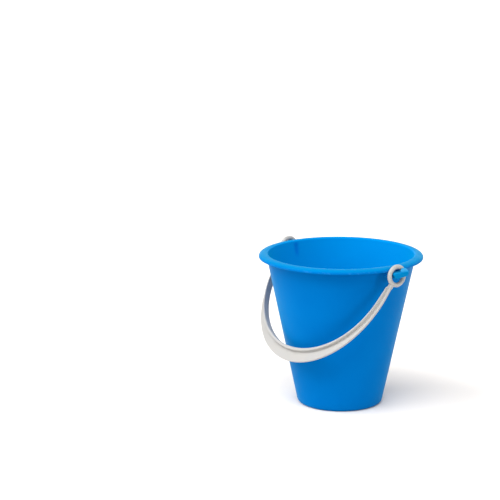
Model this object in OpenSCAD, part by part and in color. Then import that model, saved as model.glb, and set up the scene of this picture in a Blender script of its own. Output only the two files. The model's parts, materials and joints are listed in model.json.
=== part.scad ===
// Toy sand bucket: a tapered tub with a rolled rim and two hook lugs, and a swinging bail handle.
// Frame: origin at the centre of the base, +Z up, the handle's hinge line along X,
// the handle lying down on the -Y side. Millimetres.

/* [Tub] */
// Outer diameter of the rim
rim_d = 150; // [144:1:156]
// Height from the ground to the crest of the rim
tub_h = 140; // [130:1:150]
// Outer diameter of the wall, carried down to the ground
base_d = 77.4; // [72:0.2:82]
// Outer diameter of the wall, carried up to the rim's crest
mouth_d = 137.2; // [136:0.2:138]
// Thickness of the side wall
wall = 1.6; // [1.4:0.1:1.8]
// Thickness of the floor
floor_t = 1.8; // [1.5:0.1:2.4]
// Outer radius of the corner between floor and wall
base_corner = 4; // [3:0.5:5]
// Depth of the hollow under the floor, inside the foot ring
foot_h = 1.2; // [0.8:0.1:1.6]
// Width of the flat foot ring
foot_w = 2.6; // [2:0.1:4]

/* [Rim] */
// How far the rim falls from its crest to its outer edge
rim_drop = 3; // [2:0.1:4]
// Height of the upright face at the rim's outer edge
rim_lip = 1; // [0.8:0.1:1.4]
// Thickness of the rim
rim_t = 1.7; // [1.5:0.1:2]
// Width of the rounding from the crest in to the wall's inner face
rim_inner = 1.5; // [1.2:0.1:2]

/* [Lugs] */
// Depth of the hinge line below the rim's crest
hinge_drop = 7.7; // [7.5:0.1:8.2]
// Width of the lug's neck, along the wall
neck_w = 9.2; // [7:0.1:9.2]
// Height of the neck above the hinge line
neck_up = 3.7; // [3:0.1:3.7]
// Height of the neck below the hinge line
neck_down = 1.2; // [0.8:0.1:2]
// Thickness of the hook's head, outside the ring
head_t = 3.2; // [2.5:0.1:4]
// Reach of the head's low end past the hinge line, along the wall
head_short = 7.2; // [6.4:0.1:7.6]
// Reach of the head's humped end past the hinge line, along the wall
head_long = 9.4; // [9:0.1:11]
// Height of the hump above the hinge line, against the ring
hump_up = 7.4; // [6.8:0.1:7.6]
// Radius of the hump, seen along the hinge line
hump_r = 4; // [3.6:0.1:4.2]
// Depth of the sink mark on the inner wall behind each lug
sink_depth = 0.5; // [0.3:0.1:0.7]
// Height of the sink mark
sink_h = 13; // [8:1:16]

/* [Handle] */
// Hole through each ring
ring_hole = 12.4; // [12.4:0.1:13]
// Thickness of the round bar that forms each ring
ring_bar = 4; // [3.6:0.1:4]
// Gap from the rim's outer edge to each ring
ring_gap = 0.5; // [0.3:0.1:0.8]
// Length of the straight part of each arm, from the hinge line
arm_l = 21; // [16:1:26]
// Depth of the inner edge of the arch below the arms
arch_in = 71; // [70:0.1:72]
// Depth of the outer edge of the arch below the arms
arch_out = 83.8; // [80:0.2:86]
// Width of each arm in the plane of the handle
arm_w = 3.6; // [3.4:0.1:4]
// Thickness of the flat web
web_t = 2; // [1.6:0.1:2.6]
// How far the gripping band along the inner edge stands out in front of the web's middle
band_front = 4.4; // [3.4:0.1:4.6]
// How far the gripping band stands out behind the web's middle
band_back = 2.9; // [2.5:0.1:3.6]
// Thickness of the gripping band on the arms
band_arm_t = 1.2; // [1.2:0.1:2]
// Thickness of the gripping band at the middle of the arch
band_mid_t = 2.9; // [2:0.1:3.2]
// Lean of the lowered handle from straight down, with the arch near the wall
rest_lean = 37.1; // [37:0.1:40]

/* [Hidden] */
$fn = 96;
rim_r = rim_d / 2;
hinge_z = tub_h - hinge_drop;
wall_lean = atan((mouth_d - base_d) / 2 / tub_h);
wall_across = wall / cos(wall_lean);      // wall thickness measured level
crest_r = mouth_d / 2 + 0.4;
lip_z = tub_h - rim_drop - rim_lip;
floor_z = foot_h + floor_t;
inner_corner = base_corner - 1;
foot_r = outer_r(base_corner) - base_corner / cos(wall_lean);
ring_r = (ring_hole + ring_bar) / 2;
ring_x = rim_r + ring_gap + ring_bar / 2;
arm_x = ring_x - ring_bar / 2;
head_gap = 0.4;                           // from the ring to the hook's head
head_x = ring_x + ring_bar / 2 + head_gap;
hump_y = head_long - hump_r;
head_bevel = atan((hump_up - neck_up) / head_t);
hole_land = 0.05;                         // depth of the flat land round the ring's hole
band_start = ring_r + ring_bar / 2 + 2.8; // the band begins with a step below the ring
sink_cutter_r = 5;
sink_z = hinge_z - 1;                     // middle of the sink mark
arch_steps = 48;
arc_steps = 8;

// Outer and inner radius of the side wall at height z
function outer_r(z) = base_d / 2 + z * tan(wall_lean);
function inner_r(z) = outer_r(z) - wall_across;

// Points on an upright ellipse about (cx, cz), from angle a0 to angle a1
function arc(cx, cz, rx, rz, a0, a1) =
    [for (i = [0:arc_steps]) let (a = a0 + (a1 - a0) * i / arc_steps)
        [cx + rx * cos(a), cz + rz * sin(a)]];

// Half of a section through the tub
tub_section = concat(
    [[0, foot_h], [foot_r - foot_w - foot_h, foot_h], [foot_r - foot_w, 0]],
    arc(foot_r, base_corner, base_corner, base_corner, -90, -wall_lean),
    [[outer_r(tub_h - rim_t), tub_h - rim_t]],
    arc(crest_r, lip_z, rim_r - rim_t - crest_r, tub_h - rim_t - lip_z, 90, 0),
    [[rim_r, lip_z]],
    arc(crest_r, tub_h - rim_drop, rim_r - crest_r, rim_drop, 0, 90),
    arc(crest_r, tub_h - rim_inner, crest_r - inner_r(tub_h - rim_inner), rim_inner, 100, 180),
    arc(inner_r(floor_z + inner_corner) - inner_corner / cos(wall_lean), floor_z + inner_corner,
        inner_corner, inner_corner, -wall_lean, -90),
    [[0, floor_z]]);

// Outline of a hook's head, seen along the hinge line: a low end at one side and a round hump at the other
module head_outline() {
    polygon([[-head_short, neck_up], [-neck_w / 2, -neck_down],
        [hump_y, hump_up - 2 * hump_r], [hump_y, neck_up]]);
    translate([hump_y, hump_up - hump_r]) circle(r = hump_r);
}

// One hook: a neck out through the ring, and a head outside it with a bevel from the hump down to its face
module hook() {
    neck_in = inner_r(hinge_z) + wall / 2;
    translate([0, 0, hinge_z]) {
        translate([neck_in, -neck_w / 2, -neck_down])
            cube([head_x + head_t / 2 - neck_in, neck_w, neck_up + neck_down]);
        difference() {
            translate([head_x, 0, 0]) rotate([90, 0, 90]) linear_extrude(head_t) head_outline();
            translate([head_x + head_t, 0, neck_up]) rotate([0, head_bevel, 0])
                translate([-hump_up, -head_long, 0]) cube([2 * hump_up, 3 * head_long, hump_up]);
        }
    }
}

// Shallow upright hollow in the inner wall behind a hook
module sink_mark() {
    translate([inner_r(sink_z) + sink_depth, 0, sink_z])
        rotate([0, wall_lean, 0]) translate([-sink_cutter_r, 0, 0])
            cylinder(r = sink_cutter_r, h = sink_h, center = true);
}

module tub() {
    color("#0b82d8") difference() {
        union() {
            rotate_extrude() polygon(tub_section);
            hook();
            mirror([1, 0, 0]) hook();
        }
        sink_mark();
        mirror([1, 0, 0]) sink_mark();
    }
}

// One edge of the bail: down an arm, round a half ellipse and up the other arm.
// x is half the span, depth is how far the arch falls below the arms, top is where the arms begin.
function bail_edge(x, depth, top) = concat(
    [[x, -top]],
    [for (i = [0:arch_steps]) let (a = -180 * i / arch_steps)
        [x * cos(a), -arm_l + depth * sin(a)]],
    [[-x, -top]]);

// Strip between two edges of the bail, from behind the web's middle to in front of it
module bail_strip(x_in, depth_in, x_out, depth_out, top, back, front) {
    outline = concat(bail_edge(x_out, depth_out, top),
        [for (i = [arch_steps + 2:-1:0]) bail_edge(x_in, depth_in, top)[i]]);
    translate([0, back, 0]) rotate([90, 0, 0]) linear_extrude(back + front) polygon(outline);
}

// One ring of round bar, with a narrow flat land round its hole
module ring(side) {
    translate([side * ring_x, 0, 0]) rotate([0, 90, 0]) difference() {
        rotate_extrude() translate([ring_r, 0]) circle(d = ring_bar, $fn = 32);
        cylinder(d = ring_hole + 2 * hole_land, h = ring_bar, center = true);
    }
}

module handle() {
    color("#dcdad6") translate([0, 0, hinge_z]) rotate([-rest_lean, 0, 0]) {
        bail_strip(arm_x, arch_in, arm_x + arm_w, arch_out, ring_r, web_t / 2, web_t / 2);
        bail_strip(arm_x, arch_in, arm_x + band_arm_t, arch_in + band_mid_t,
            band_start, band_back, band_front);
        ring(1);
        ring(-1);
    }
}

tub();
handle();
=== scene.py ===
"""A toy sand bucket: a blue moulded tub with hook lugs, and an off-white bail handle, on a pale floor."""
import json
from math import asin, atan, cos, degrees, exp, log, pi, radians, sin, sqrt, tan

import bmesh
import bpy
from mathutils import Matrix, Vector


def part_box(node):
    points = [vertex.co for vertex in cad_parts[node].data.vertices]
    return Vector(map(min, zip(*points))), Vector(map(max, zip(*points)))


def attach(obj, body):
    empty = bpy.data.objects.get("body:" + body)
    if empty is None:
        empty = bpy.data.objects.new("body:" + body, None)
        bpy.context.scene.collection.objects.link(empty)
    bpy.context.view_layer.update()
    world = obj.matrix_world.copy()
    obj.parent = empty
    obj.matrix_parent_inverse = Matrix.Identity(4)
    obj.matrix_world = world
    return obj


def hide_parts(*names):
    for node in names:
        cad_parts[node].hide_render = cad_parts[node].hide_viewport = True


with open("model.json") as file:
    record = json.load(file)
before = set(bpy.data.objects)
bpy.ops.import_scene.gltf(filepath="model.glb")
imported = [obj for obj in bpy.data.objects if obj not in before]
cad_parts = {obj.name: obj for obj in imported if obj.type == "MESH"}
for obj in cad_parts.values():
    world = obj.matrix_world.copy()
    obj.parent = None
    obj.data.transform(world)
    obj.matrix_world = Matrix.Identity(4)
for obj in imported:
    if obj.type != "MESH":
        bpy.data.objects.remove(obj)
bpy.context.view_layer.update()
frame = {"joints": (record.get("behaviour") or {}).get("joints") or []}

scene = bpy.context.scene

# ---------------------------------------------------------------- sizes, in millimetres
MM = 0.001
_, tub_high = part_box("tub")
hinge = next(j for j in frame["joints"] if j["name"] == "handle_swing")

TUB_H = tub_high.z / MM
RIM_R = tub_high.y / MM
HINGE_Z = hinge["pos_m"][2] / MM
BASE_R = 38.7            # the wall's outer face, carried down to the ground
MOUTH_R = 68.6           # the wall's outer face, carried up to the crest
WALL = 1.6
FLOOR_T = 1.8
BASE_CORNER = 4.0
FOOT_H = 1.2
FOOT_W = 2.6
RIM_DROP = 3.0
RIM_LIP = 1.0
RIM_T = 1.7
RIM_INNER = 1.5
GATE_R = 1.6             # the small moulding gate under the floor
GATE_H = 0.5
SINK_DEPTH = 0.25        # the shallow upright mark on the inner wall behind each lug
SINK_H = 13.0
SINK_HALF = 0.5          # how far it is at full depth to each side of its middle
SINK_SIDE_FADE = 2.6     # and how far it takes to fade out from there, at the sides,
SINK_TOP_FADE = 2.0      # at the top
SINK_FOOT_FADE = 6.0     # and at the foot

NECK_W = 9.2
NECK_UP = 3.7
NECK_DOWN = 1.2
HEAD_T = 3.2
HEAD_GAP = 0.4
HEAD_SHORT = 7.2         # the head's low end, past the hinge line
HEAD_LONG = 9.4          # its humped end
HUMP_UP = 7.4
HUMP_R = 4.0
HEAD_EDGE = 0.55         # the rounding of the head's outline, on both faces
BEVEL_SOFT = 0.3         # the rounding where the bevel meets the head's top
NECK_EDGE = 0.6
NECK_FLARE = 0.9         # how much the neck grows where it leaves the wall
NECK_FLARE_RUN = 0.8

RING_HOLE = 12.4
RING_BAR = 4.0
HOLE_LAND = 0.05         # depth of the flat land round the ring's hole
RING_GAP = 0.5
ARM_L = 21.0
ARCH_IN = 71.0
ARCH_OUT = 83.8
ARM_W = 3.6
WEB_T = 2.0
BAND_FRONT = 4.4         # how far the gripping band stands out in front of the web's middle
BAND_BACK = 2.9          # and behind it
BAND_ARM_T = 1.2
BAND_MID_T = 2.9
ARM_ROOT_HALF = 1.9      # half the arm's depth, and half its web, where it leaves the ring
ARM_ROOT_WEB = 1.7
BAND_GAP = 1.4           # from the ring's outer edge to where the band begins
NARROW_FRONT = 3.4       # how far the band stands out in front where it begins
BAND_GROWS = 2.6         # the stretch over which the band begins
BAND_FILLS = 18.0        # the stretch over which it comes to its full depth
REST_LEAN = radians(37.1)

# ---------------------------------------------------------------- colours and gloss
BLUE_OUTSIDE = (0.0, 0.124, 0.425)
# painted highlight: the rim's crest and the lugs are given a lighter, greener blue for the light that falls
# on them
BLUE_RIM_HIGHLIGHT = (0.0, 0.168, 0.43)
# painted light: the inside is a lighter blue, standing in for light that comes through the wall
BLUE_INSIDE_PAINTED_LIGHT = (0.0, 0.215, 0.575)
BLUE_SHADED = (0.0, 0.150, 0.52)    # the inner wall behind a lug, where less light comes through
BLUE_MOTTLE = (0.0, 0.26, 0.70)     # faint clouds in the plastic
BLUE_MOTTLE_SHARE = 0.07            # the most that they cover the blue under them
BLUE_RUBBED = (0.10, 0.40, 0.85)    # worn plastic at the lip and the foot
BLUE_RUBBED_SHARE = 0.08
BLUE_RUBBED_DULLER = 0.5            # how much rougher it would be where fully rubbed
# painted highlight on the tops of the hooks' humps, where light falls on them
BLUE_HUMP_HIGHLIGHT = (0.10, 0.45, 0.75)      # the tops of the hooks' humps
BLUE_HUMP_HIGHLIGHT_SHARE = 0.35
BLUE_SPECULAR = 0.012
BLUE_SPECULAR_TINT = (0.0, 1.0, 0.9, 1)
BLUE_SHEEN = 0.12
BLUE_SHEEN_ROUGHNESS = 0.5
BLUE_SHEEN_TINT = (0.0, 1.0, 0.8, 1)
BLUE_ROUGHNESS = 0.38
WHITE_MAIN = (0.37, 0.367, 0.36)
WHITE_WARM = (0.38, 0.369, 0.353)
WHITE_SPECULAR = 0.35
WHITE_SUBSURFACE = 0.4    # light comes through the thin arms
WHITE_SCATTER = 0.0015    # metres
WHITE_ROUGHNESS = 0.42
ROUGHNESS_SPREAD = 0.05   # how much the gloss varies each way over a face
GRAIN_SCALE = 2400
WAVES_SCALE = 40
WAVES_SHARE = 6.0         # the waves' height against the grain's
BUMP_STRENGTH = 0.10
BUMP_HEIGHT = 0.00006     # metres

# ---------------------------------------------------------------- the room, in metres and degrees
FLOOR_HALF = 6.0
FLOOR_COLOUR = (0.82, 0.79, 0.757)
FLOOR_ROUGHNESS = 0.8
ROOM_LIGHT = 0.48         # the strength of the even light from all round
VIEW_AZIMUTH = radians(50.4)    # the camera's place, turned from straight in front of the handle
CAMERA_AWAY = 1.788
CAMERA_UP = 0.531
CAMERA_TILT = 12.28       # down from level
CAMERA_PAN = 2.66         # to the left of the bucket's middle
CAMERA_LENS = 144.3       # millimetres, as the sensor's width
CAMERA_SENSOR = 36

# ---------------------------------------------------------------- sizes worked out from those above
LEAN = atan((MOUTH_R - BASE_R) / TUB_H)
WALL_ACROSS = WALL / cos(LEAN)
CREST_R = MOUTH_R + 0.4
LIP_Z = TUB_H - RIM_DROP - RIM_LIP
FLOOR_Z = FOOT_H + FLOOR_T
INNER_CORNER = BASE_CORNER - 1
FOOT_R = BASE_R + BASE_CORNER * tan(LEAN) - BASE_CORNER / cos(LEAN)
RING_R = (RING_HOLE + RING_BAR) / 2
RING_X = RIM_R + RING_GAP + RING_BAR / 2
ARM_X = RING_X - RING_BAR / 2
HEAD_X = RING_X + RING_BAR / 2 + HEAD_GAP
BAND_START = RING_R + RING_BAR / 2 + BAND_GAP
SINK_TOP = HINGE_Z - 1 + SINK_H / 2      # the mark's middle is 1 below the hinge line


def outer_r(z):
    """The wall's outer radius at a height."""
    return BASE_R + z * tan(LEAN)


def inner_r(z):
    """The wall's inner radius at a height."""
    return outer_r(z) - WALL_ACROSS


def smooth(t):
    """0 below 0, 1 above 1, and an S-curve between."""
    t = min(max(t, 0.0), 1.0)
    return t * t * (3 - 2 * t)


def soft_min(a, b, soft):
    """The smaller of a and b, with a rounded change from one to the other."""
    return -soft * log(exp(-a / soft) + exp(-b / soft))


def mix(a, b, t):
    return a + (b - a) * t


def spaced_values(a, b, steps):
    """Evenly spaced numbers from a to b, counting both."""
    return [mix(a, b, i / steps) for i in range(steps + 1)]


# ---------------------------------------------------------------- outlines
def ellipse(cx, cy, rx, ry, start, end, steps):
    """Points on an upright ellipse, from one angle to another in degrees."""
    angles = [radians(mix(start, end, i / steps)) for i in range(steps + 1)]
    return [(cx + rx * cos(a), cy + ry * sin(a)) for a in angles]


def rounded(corners, closed, steps=5):
    """An outline through corners (x, y, radius), each rounded to its radius."""
    out = []
    count = len(corners)
    for i, (x, y, radius) in enumerate(corners):
        if radius <= 0 or (not closed and i in (0, count - 1)):
            out.append((x, y))
            continue
        here = Vector((x, y))
        to_last = (Vector(corners[i - 1][:2]) - here).normalized()
        to_next = (Vector(corners[(i + 1) % count][:2]) - here).normalized()
        half = to_last.angle(to_next) / 2
        centre = here + (to_last + to_next).normalized() * (radius / sin(half))
        first = here + to_last * (radius / tan(half)) - centre
        last = here + to_next * (radius / tan(half)) - centre
        turn = first.angle(last)
        for k in range(steps + 1):
            t = k / steps
            point = centre + (first * sin((1 - t) * turn) + last * sin(t * turn)) / sin(turn)
            out.append((point.x, point.y))
    return out


def spaced(a, b, step):
    """Points between a and b, not counting either, at most step apart."""
    count = max(1, round((Vector(b) - Vector(a)).length / step))
    return [tuple(Vector(a).lerp(Vector(b), k / count)) for k in range(1, count)]


def tub_section():
    """Half a section through the tub: under the floor, up the outside, over the rim and down the inside."""
    under_z = TUB_H - RIM_T
    under_r = RIM_R - RIM_T
    under = ellipse(CREST_R, LIP_Z, under_r - CREST_R, under_z - LIP_Z, 90, 0, 12)
    top = ellipse(CREST_R, TUB_H - RIM_DROP, RIM_R - CREST_R, RIM_DROP, 0, 90, 18)
    inner_top_z = TUB_H - RIM_INNER
    crest = ellipse(CREST_R, inner_top_z, CREST_R - inner_r(inner_top_z), RIM_INNER, 96, 180, 10)
    corners = [
        (0, FOOT_H - GATE_H, 0), (GATE_R, FOOT_H - GATE_H, 0.2), (GATE_R, FOOT_H, 0.2),
        (FOOT_R - FOOT_W - FOOT_H, FOOT_H, 1.0), (FOOT_R - FOOT_W, 0, 0.4),
        (BASE_R, 0, BASE_CORNER), (outer_r(under_z), under_z, 0.3)]
    corners += [(r, z, 0) for r, z in under[1:-1]]
    corners += [(under_r, LIP_Z, 0.3), (RIM_R, LIP_Z, 0.35)]
    corners += [(r, z, 0) for r, z in top + crest]
    wall_foot = (inner_r(FLOOR_Z), FLOOR_Z, INNER_CORNER)
    corners += [wall_foot, (0, FLOOR_Z, 0)]
    return rounded(corners, closed=False, steps=8)


def with_rows(section):
    """The section with extra rows on its long stretches, closest together over the sink marks."""
    row, fine_row = 6, 0.6
    long_drop = 20           # only the inner wall falls so far in one stretch
    out = [section[0]]
    for a, b in zip(section, section[1:]):
        drop = a[1] - b[1]
        if drop > long_drop:
            below_mark = Vector(a).lerp(Vector(b), (SINK_H + row) / drop)
            out += spaced(a, below_mark, fine_row) + [tuple(below_mark)]
            out += spaced(below_mark, b, row)
        else:
            out += spaced(a, b, row)
        out.append(b)
    return out


# ---------------------------------------------------------------- mesh helpers
def new_object(name, bm):
    """Puts a mesh in the scene, with its faces turned outwards."""
    bmesh.ops.recalc_face_normals(bm, faces=bm.faces)
    mesh = bpy.data.meshes.new(name)
    bm.to_mesh(mesh)
    bm.free()
    obj = bpy.data.objects.new(name, mesh)
    scene.collection.objects.link(obj)
    return obj


def bridge(bm, rings, close_ends=False):
    """Faces between neighbouring rings of vertices, and from the last ring to the first if asked."""
    count = len(rings[0])
    pairs = list(zip(rings, rings[1:])) + ([(rings[-1], rings[0])] if close_ends else [])
    for a, b in pairs:
        for i in range(count):
            j = (i + 1) % count
            bm.faces.new((a[i], a[j], b[j], b[i]))


def unite(base, others):
    """Joins closed meshes into base as one closed skin, and removes the others."""
    for other in others:
        union = base.modifiers.new("union", "BOOLEAN")
        union.operation = "UNION"
        union.solver = "EXACT"
        union.object = other
    evaluated = base.evaluated_get(bpy.context.evaluated_depsgraph_get())
    settled = bpy.data.meshes.new_from_object(evaluated)
    base.modifiers.clear()
    base.data = settled
    for other in others:
        bpy.data.objects.remove(other)
    return base


def smooth_shade(obj, sharp_degrees):
    """Smooth shading, with a crease wherever two faces meet at more than the angle."""
    bm = bmesh.new()
    bm.from_mesh(obj.data)
    bmesh.ops.dissolve_degenerate(bm, dist=1e-7, edges=bm.edges)
    for face in bm.faces:
        face.smooth = True
    for edge in bm.edges:
        edge.smooth = len(edge.link_faces) == 2 and edge.calc_face_angle(0) < radians(sharp_degrees)
    bm.to_mesh(obj.data)
    bm.free()


# ---------------------------------------------------------------- the tub
def sink(y, z):
    """How deep the mark behind a lug is at a point on the inner wall, in millimetres."""
    across = 1 - smooth((abs(y) - SINK_HALF) / SINK_SIDE_FADE)
    foot = SINK_TOP - SINK_H
    along = smooth((SINK_TOP - z) / SINK_TOP_FADE) * smooth((z - foot) / SINK_FOOT_FADE)
    return SINK_DEPTH * across * along


def tub_shell():
    """The lathe-turned body, with its columns closest together at the lugs."""
    columns = 288
    crowding = 0.8           # 0 would space the columns evenly
    section = with_rows(tub_section())
    crest = max(range(len(section)), key=lambda i: section[i][1])
    turns = [2 * pi * k / columns for k in range(columns)]
    angles = [t - crowding / 2 * sin(2 * t) for t in turns]
    bm = bmesh.new()
    rings = []
    for i, (r, z) in enumerate(section[1:-1], start=1):
        ring = []
        for a in angles:
            sunk = r + (sink(r * sin(a), z) if i > crest else 0)
            ring.append(bm.verts.new(Vector((sunk * cos(a), sunk * sin(a), z)) * MM))
        rings.append(ring)
    bridge(bm, rings)
    for (_, z), ring in ((section[0], rings[0]), (section[-1], rings[-1])):
        middle = bm.verts.new(Vector((0, 0, z)) * MM)
        for i in range(columns):
            bm.faces.new((ring[i], ring[(i + 1) % columns], middle))
    return new_object("tub_body", bm)


def head_outline():
    """The hook's head seen along the hinge line, as (y, z): a low end on the left, a hump on the right."""
    hump_y, hump_z = HEAD_LONG - HUMP_R, HUMP_UP - HUMP_R
    meets_top = 180 - degrees(asin((NECK_UP - hump_z) / HUMP_R))
    short_of_top = 12        # leaves room to round the corner there
    hump = ellipse(hump_y, hump_z, HUMP_R, HUMP_R, -80, meets_top - short_of_top, 40)
    corners = [(-HEAD_SHORT, NECK_UP, 0.7), (-NECK_W / 2, -NECK_DOWN, 0.9)]
    corners += [(y, z, 0) for y, z in hump] + [(hump_y - HUMP_R, NECK_UP, 0.6)]
    return rounded(corners, closed=True, steps=6)


def inset(outline, depth):
    """The outline drawn in by a small depth."""
    count = len(outline)
    out = []
    for i, (x, y) in enumerate(outline):
        along = Vector(outline[(i + 1) % count]) - Vector(outline[i - 1])
        inward = Vector((-along.y, along.x)).normalized()
        out.append((x + inward.x * depth, y + inward.y * depth))
    return out


def lofted(name, layers, side):
    """A closed solid through outlines in (y, z), each at its own x, about the hinge line."""
    bm = bmesh.new()
    rings = [[bm.verts.new((side * x, y, z)) for y, z in outline] for x, outline in layers]
    bridge(bm, rings)
    bm.faces.new(rings[0])
    bm.faces.new(rings[-1])
    bmesh.ops.translate(bm, vec=(0, 0, HINGE_Z), verts=bm.verts)
    bmesh.ops.scale(bm, vec=(MM, MM, MM), verts=bm.verts)
    return new_object(name, bm)


def hook_head(side):
    """The head outside the ring, with rounded edges and a bevel from the hump down to its outer face."""
    outline = head_outline()
    layers = []
    for a in range(0, 90, 15):
        x = HEAD_EDGE * (1 - cos(radians(a)))
        layers.append((x, inset(outline, HEAD_EDGE * (1 - sin(radians(a))))))
    for x in spaced_values(HEAD_EDGE, HEAD_T - HEAD_EDGE, 14):
        layers.append((x, outline))
    for a in range(0, 91, 15):
        x = HEAD_T - HEAD_EDGE + HEAD_EDGE * sin(radians(a))
        layers.append((x, inset(outline, HEAD_EDGE * (1 - cos(radians(a))))))
    slope = (HUMP_UP - NECK_UP) / HEAD_T
    bevelled = []
    for x, points in layers:
        ceiling = NECK_UP + slope * (HEAD_T - x)
        bevelled.append((HEAD_X + x, [(y, soft_min(z, ceiling, BEVEL_SOFT)) for y, z in points]))
    return lofted("hook_head", bevelled, side)


def hook_neck(side):
    """The neck from the wall out through the ring, flared a little where it leaves the wall."""
    root = inner_r(HINGE_Z) + WALL / 2
    leaves = outer_r(HINGE_Z)
    layers = []
    for x in spaced_values(root, leaves + 4, 16) + [HEAD_X + HEAD_T / 2]:
        grow = NECK_FLARE * exp(-max(0.0, x - leaves) / NECK_FLARE_RUN)
        half, up, down = NECK_W / 2 + grow, NECK_UP + grow, NECK_DOWN + grow
        corners = [(-half, up), (-half, -down), (half, -down), (half, up)]
        layers.append((x, rounded([(y, z, NECK_EDGE) for y, z in corners], closed=True)))
    return lofted("hook_neck", layers, side)


def make_tub():
    """The tub in one piece with its two hooks."""
    tub = unite(tub_shell(), [part(side) for side in (1, -1) for part in (hook_neck, hook_head)])
    smooth_shade(tub, 32)
    return tub


# ---------------------------------------------------------------- the handle
def bail_station(t):
    """The bar's inner edge at t, from 0 at one ring to 1 at the other.

    Gives the point, the outward direction, the width there, and the distance from the nearer ring's centre.
    """
    side = 1 if t < 0.5 else -1
    u = t if t < 0.5 else 1 - t
    arm_share = 0.14
    start = RING_R - 0.6     # inside the ring's bar
    if u < arm_share:
        down = mix(start, ARM_L, u / arm_share)
        return Vector((side * ARM_X, -down)), Vector((side, 0)), ARM_W, down
    a = pi / 2 * (u - arm_share) / (0.5 - arm_share)
    point = Vector((ARM_X * cos(a), -ARM_L - ARCH_IN * sin(a)))
    out = Vector((cos(a) / ARM_X, -sin(a) / ARCH_IN)).normalized()
    rx, rz = ARM_X + ARM_W, ARCH_OUT
    px, pz = point.x / rx, (point.y + ARM_L) / rz
    dx, dz = out.x / rx, out.y / rz
    b, c, d = px * dx + pz * dz, px * px + pz * pz - 1, dx * dx + dz * dz
    width = (-b + sqrt(b * b - c * d)) / d
    return Vector((side * point.x, point.y)), Vector((side * out.x, out.y)), width, ARM_L + ARCH_IN * a


def t_section(width, band_t, front, back, web_half):
    """The bar's section: a rounded gripping band, and a flat web that stands out from it.

    Each point is its distance out from the inner edge and its distance in front of the web's middle.
    """
    step = max(min(front, back) - web_half, 0.02)
    edge = min(0.4 * band_t, 0.45 * step)
    inside = min(0.4, 0.45 * step, 0.45 * (width - band_t))
    tip = min(0.6, 0.8 * web_half, 0.45 * (width - band_t))
    return rounded([
        (0, -back, edge), (0, front, edge), (band_t, front, edge), (band_t, web_half, inside),
        (width, web_half, tip), (width, -web_half, tip), (band_t, -web_half, inside),
        (band_t, -back, edge)], closed=True, steps=5)


def bail_bar():
    """The arms and the arch, in the handle's own plane: x across, z up, and y from front to back."""
    stations = 150
    bm = bmesh.new()
    rings = []
    for i in range(stations + 1):
        point, out, width, down = bail_station(i / stations)
        middle = smooth((down - ARM_L) / (ARCH_IN * pi / 2))
        band_t = mix(BAND_ARM_T, BAND_MID_T, middle)
        grown = smooth((down - BAND_START) / BAND_GROWS)
        full = smooth((down - BAND_START) / BAND_FILLS)
        web_half = mix(ARM_ROOT_WEB, WEB_T / 2, grown)
        front = mix(ARM_ROOT_HALF, mix(NARROW_FRONT, BAND_FRONT, full), grown)
        back = mix(ARM_ROOT_HALF, BAND_BACK, grown)
        ring = []
        for outward, forward in t_section(width, band_t, front, back, web_half):
            p = point + out * outward
            ring.append(bm.verts.new((p.x, -forward, p.y)))
        rings.append(ring)
    bridge(bm, rings)
    bm.faces.new(rings[0])
    bm.faces.new(rings[-1])
    bmesh.ops.scale(bm, vec=(MM, MM, MM), verts=bm.verts)
    return new_object("bail_handle", bm)


def bail_ring(side):
    """One ring of round bar, with a narrow flat land round its hole."""
    around, section = 72, 28
    bm = bmesh.new()
    rings = []
    for i in range(around):
        a = 2 * pi * i / around
        ring = []
        for k in range(section):
            b = 2 * pi * k / section
            r = max(RING_R + RING_BAR / 2 * cos(b), RING_HOLE / 2 + HOLE_LAND)
            x = side * RING_X + RING_BAR / 2 * sin(b)
            ring.append(bm.verts.new(Vector((x, r * cos(a), r * sin(a))) * MM))
        rings.append(ring)
    bridge(bm, rings, close_ends=True)
    return new_object("bail_ring", bm)


def make_handle():
    """The handle in one piece, leaning down towards the wall from the hinge line."""
    handle = unite(bail_bar(), [bail_ring(1), bail_ring(-1)])
    smooth_shade(handle, 40)
    at_hinge = Matrix.Translation((0, 0, HINGE_Z * MM))
    handle.data.transform(at_hinge @ Matrix.Rotation(-REST_LEAN, 4, "X"))
    return handle


# ---------------------------------------------------------------- materials
class Nodes:
    """A short way to add and link the nodes of one material."""

    def __init__(self, name):
        self.material = bpy.data.materials.new(name)
        self.material.use_nodes = True
        self.tree = self.material.node_tree
        self.shader = self.tree.nodes["Principled BSDF"]
        place = self.tree.nodes.new("ShaderNodeTexCoord")
        self.place = place.outputs["Object"]

    def add(self, kind, inputs=(), **settings):
        node = self.tree.nodes.new("ShaderNode" + kind)
        for name, value in settings.items():
            setattr(node, name, value)
        for socket, value in dict(inputs).items():
            if isinstance(value, bpy.types.NodeSocket):
                self.tree.links.new(value, node.inputs[socket])
            else:
                node.inputs[socket].default_value = value
        return node

    def maths(self, operation, a, b=0.0):
        return self.add("Math", {0: a, 1: b}, operation=operation).outputs[0]

    def both(self, a, b):
        """The overlap of two masks."""
        return self.maths("MULTIPLY", a, b)

    def either(self, a, b):
        """Two masks together."""
        return self.maths("MAXIMUM", a, b)

    def noise(self, scale, detail):
        inputs = {"Vector": self.place, "Scale": scale, "Detail": detail}
        return self.add("TexNoise", inputs).outputs["Fac"]

    def remap(self, value, low, high, to_low, to_high):
        """An S-curve from to_low at low to to_high at high, and level past them."""
        inputs = {"Value": value, "From Min": low, "From Max": high, "To Min": to_low, "To Max": to_high}
        return self.add("MapRange", inputs, interpolation_type="SMOOTHSTEP").outputs["Result"]

    def blend(self, share, first, second):
        """The second colour over the first, as far as share says."""
        node = self.add("Mix", {"Factor": share}, data_type="RGBA")
        for socket, value in ((node.inputs[6], first), (node.inputs[7], second)):
            if isinstance(value, bpy.types.NodeSocket):
                self.tree.links.new(value, socket)
            else:
                socket.default_value = (*value, 1)
        return node.outputs[2]

    def link(self, value, socket):
        self.tree.links.new(value, self.shader.inputs[socket])

    def set(self, socket, value):
        self.shader.inputs[socket].default_value = value


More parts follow.
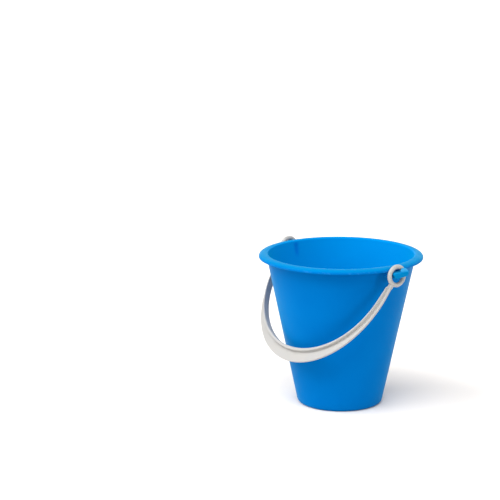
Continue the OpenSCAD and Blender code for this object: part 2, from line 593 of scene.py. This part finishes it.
def satin_skin(nodes, roughness):
    """Puts a moulded face's fine grain on the shader, and gives a gloss that varies slightly."""
    low, high = roughness - ROUGHNESS_SPREAD, roughness + ROUGHNESS_SPREAD
    gloss = nodes.remap(nodes.noise(scale=70, detail=5), 0.3, 0.7, low, high)
    waves = nodes.maths("MULTIPLY", nodes.noise(scale=WAVES_SCALE, detail=1), WAVES_SHARE)
    height = nodes.maths("ADD", nodes.noise(scale=GRAIN_SCALE, detail=2), waves)
    inputs = {"Height": height, "Strength": BUMP_STRENGTH, "Distance": BUMP_HEIGHT}
    nodes.link(nodes.add("Bump", inputs).outputs["Normal"], "Normal")
    return gloss


def rim_and_lugs(nodes, radius, out_from_wall, z):
    """Two masks for the painted highlight: the rim's top with both lugs, and the lugs' heads alone."""
    near_crest = nodes.remap(z, (LIP_Z + 0.8) * MM, (TUB_H - 0.8) * MM, 0.0, 1.0)
    on_rim = nodes.maths("GREATER_THAN", z, (LIP_Z - 0.01) * MM)
    off_wall = nodes.remap(out_from_wall, 3 * MM, 6 * MM, 0.0, 1.0)
    under_lip = nodes.maths("LESS_THAN", z, (LIP_Z - 0.3) * MM)
    on_neck = nodes.both(off_wall, under_lip)
    on_head = nodes.remap(radius, (RIM_R + 0.1) * MM, (RIM_R + 0.6) * MM, 0.0, 1.0)
    on_lug = nodes.either(on_neck, on_head)
    return nodes.either(nodes.both(near_crest, on_rim), on_lug), on_head


def behind_lugs(nodes, y, z):
    """The upright streak on the inner wall behind each lug."""
    across = nodes.remap(nodes.maths("ABSOLUTE", y), 0.4 * MM, 4.2 * MM, 1.0, 0.0)
    foot = nodes.remap(z, (HINGE_Z - 9) * MM, (HINGE_Z - 3) * MM, 0.0, 1.0)
    top = nodes.remap(z, (TUB_H - 3) * MM, (TUB_H - 1) * MM, 1.0, 0.0)
    return nodes.both(across, nodes.both(foot, top))


def blue_plastic():
    """Bright blue, with painted light: lighter inside and on the rim and lugs, a painted highlight on the
    hooks' humps and a painted shade streak behind each lug, and rubbed a little paler where it wears.
    """
    nodes = Nodes("blue_plastic")
    nodes.set("Specular IOR Level", BLUE_SPECULAR)
    nodes.set("Specular Tint", BLUE_SPECULAR_TINT)
    nodes.set("Sheen Weight", BLUE_SHEEN)
    nodes.set("Sheen Roughness", BLUE_SHEEN_ROUGHNESS)
    nodes.set("Sheen Tint", BLUE_SHEEN_TINT)
    x, y, z = nodes.add("SeparateXYZ", {"Vector": nodes.place}).outputs
    radius = nodes.maths("SQRT", nodes.maths("ADD", nodes.both(x, x), nodes.both(y, y)))
    middle_of_wall = (BASE_R - WALL_ACROSS / 2) * MM
    wall_here = nodes.maths("ADD", nodes.maths("MULTIPLY", z, tan(LEAN)), middle_of_wall)
    out_from_wall = nodes.maths("SUBTRACT", radius, wall_here)

    lighter, on_head = rim_and_lugs(nodes, radius, out_from_wall, z)
    # painted highlight: the rim's top and the lugs are lighter where light falls on them
    base = nodes.blend(lighter, BLUE_OUTSIDE, BLUE_RIM_HIGHLIGHT)
    # painted light: the inner wall is a lighter blue, with a painted shade streak behind each lug
    inside_wall = nodes.remap(out_from_wall, -0.3 * MM, 0.3 * MM, 1.0, 0.0)
    above_floor = nodes.remap(z, (FOOT_H + 0.2) * MM, (FLOOR_Z - 0.2) * MM, 0.0, 1.0)
    inner = nodes.blend(behind_lugs(nodes, y, z), BLUE_INSIDE_PAINTED_LIGHT, BLUE_SHADED)
    base = nodes.blend(nodes.both(inside_wall, above_floor), base, inner)
    clouds = nodes.remap(nodes.noise(scale=22, detail=3), 0.3, 0.7, 0.0, BLUE_MOTTLE_SHARE)
    base = nodes.blend(clouds, base, BLUE_MOTTLE)

    at_lip = nodes.remap(radius, (RIM_R - 0.8) * MM, RIM_R * MM, 0.0, 1.0)
    at_foot = nodes.remap(z, 0.0, 1.2 * MM, 1.0, 0.0)
    patches = nodes.remap(nodes.noise(scale=420, detail=4), 0.5, 0.68, 0.0, BLUE_RUBBED_SHARE)
    rubbed = nodes.both(nodes.either(at_lip, at_foot), patches)
    base = nodes.blend(rubbed, base, BLUE_RUBBED)
    # painted highlight on the tops of the hooks' humps
    high_up = nodes.remap(z, (HINGE_Z + 3.4) * MM, (HINGE_Z + 5.5) * MM, 0.0, BLUE_HUMP_HIGHLIGHT_SHARE)
    base = nodes.blend(nodes.both(on_head, high_up), base, BLUE_HUMP_HIGHLIGHT)
    nodes.link(base, "Base Color")
    duller = nodes.maths("MULTIPLY", rubbed, BLUE_RUBBED_DULLER)
    nodes.link(nodes.maths("ADD", satin_skin(nodes, BLUE_ROUGHNESS), duller), "Roughness")
    return nodes.material


def white_plastic():
    """Off-white, slightly warm, in faint clouds."""
    nodes = Nodes("white_plastic")
    nodes.set("Specular IOR Level", WHITE_SPECULAR)
    nodes.set("Subsurface Weight", WHITE_SUBSURFACE)
    nodes.set("Subsurface Radius", (1.0, 1.0, 1.0))
    nodes.set("Subsurface Scale", WHITE_SCATTER)
    clouds = nodes.remap(nodes.noise(scale=60, detail=4), 0.35, 0.7, 0.0, 1.0)
    nodes.link(nodes.blend(clouds, WHITE_MAIN, WHITE_WARM), "Base Color")
    nodes.link(satin_skin(nodes, WHITE_ROUGHNESS), "Roughness")
    return nodes.material


def plain(name, colour, roughness):
    """A matt material in one colour."""
    material = bpy.data.materials.new(name)
    material.use_nodes = True
    shader = material.node_tree.nodes["Principled BSDF"]
    shader.inputs["Base Color"].default_value = (*colour, 1)
    shader.inputs["Roughness"].default_value = roughness
    shader.inputs["Specular IOR Level"].default_value = 0.0
    return material


# ---------------------------------------------------------------- the object
tub = make_tub()
tub.data.materials.clear()
tub.data.materials.append(blue_plastic())
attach(tub, "tub")
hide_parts("tub")

handle = make_handle()
handle.data.materials.clear()
handle.data.materials.append(white_plastic())
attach(handle, "handle")
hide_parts("handle")

# ---------------------------------------------------------------- floor, light and camera
corner_signs = ((-1, -1), (1, -1), (1, 1), (-1, 1))
floor_corners = [(sx * FLOOR_HALF, sy * FLOOR_HALF, 0) for sx, sy in corner_signs]
floor_mesh = bpy.data.meshes.new("floor")
floor_mesh.from_pydata(floor_corners, [], [(0, 1, 2, 3)])
floor = bpy.data.objects.new("floor", floor_mesh)
floor.data.materials.append(plain("floor_white", FLOOR_COLOUR, FLOOR_ROUGHNESS))
scene.collection.objects.link(floor)

# The backdrop is white to the camera, and everything else is lit by it at ROOM_LIGHT.
world = bpy.data.worlds.new("studio")
world.use_nodes = True
world_tree = world.node_tree
background = world_tree.nodes["Background"]
background.inputs["Color"].default_value = (1, 1, 1, 1)
ray = world_tree.nodes.new("ShaderNodeLightPath")
strength = world_tree.nodes.new("ShaderNodeMath")
strength.operation = "MAXIMUM"
strength.inputs[1].default_value = ROOM_LIGHT
world_tree.links.new(ray.outputs["Is Camera Ray"], strength.inputs[0])
world_tree.links.new(strength.outputs[0], background.inputs["Strength"])
scene.world = world
scene.view_settings.view_transform = "Standard"

towards = Vector((sin(VIEW_AZIMUTH), -cos(VIEW_AZIMUTH), 0))     # from the bucket to the camera, level
right = Vector((cos(VIEW_AZIMUTH), sin(VIEW_AZIMUTH), 0))
up = Vector((0, 0, 1))


def soft_sun(name, azimuth, elevation, strength, spread):
    """Even light from a wide part of the sky, its azimuth in degrees to the right of the camera's."""
    a, e = radians(azimuth), radians(elevation)
    source = (towards * cos(a) + right * sin(a)) * cos(e) + up * sin(e)
    data = bpy.data.lights.new(name, "SUN")
    data.energy = strength
    data.angle = radians(spread)
    lamp = bpy.data.objects.new(name, data)
    lamp.rotation_euler = source.to_track_quat("Z", "Y").to_euler()
    scene.collection.objects.link(lamp)


soft_sun("key_left", -72, 48, 1.95, 44)
soft_sun("fill_left", -73, 12, 1.3, 80)
soft_sun("front", -6, 57, 1.9, 34)
soft_sun("side_right", 55, 20, 0.65, 14)
soft_sun("back", 165, 25, 1.0, 90)

camera_data = bpy.data.cameras.new("camera")
camera_data.lens = CAMERA_LENS
camera_data.sensor_width = CAMERA_SENSOR
camera = bpy.data.objects.new("camera", camera_data)
camera.location = towards * CAMERA_AWAY + up * CAMERA_UP
camera.rotation_euler = (radians(90 - CAMERA_TILT), 0, VIEW_AZIMUTH + radians(CAMERA_PAN))
scene.collection.objects.link(camera)
scene.camera = camera
